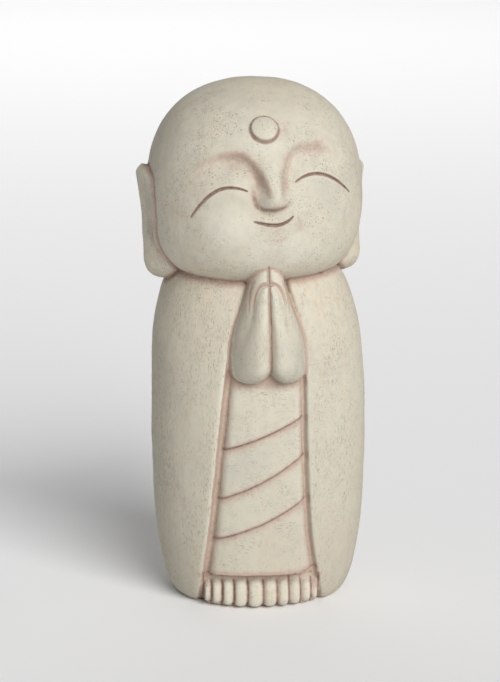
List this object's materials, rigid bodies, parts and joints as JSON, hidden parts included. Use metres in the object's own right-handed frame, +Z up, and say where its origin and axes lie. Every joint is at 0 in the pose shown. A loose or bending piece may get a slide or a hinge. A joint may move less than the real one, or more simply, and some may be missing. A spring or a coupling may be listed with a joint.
{
  "type": "jizo figure",
  "caption": "Standing bald child-monk figure of cast stone, hands joined, eyes closed and smiling, in a plain robe open over a folded under-robe, on its own flat underside.",
  "frame": {"origin": "middle of the robe's flat underside, at the level that it stands on", "axes": "+Z up, -Y the way the figure faces, +X towards the figure's left"},
  "size_m": [0.166, 0.1579, 0.38],
  "materials": {
    "cast_stone": "matt cream cast stone with fine pits and a pink-brown wash in the hollows"
  },
  "bodies": {
    "root": {"jizo_figure": "cast_stone"}
  },
  "joints": []
}
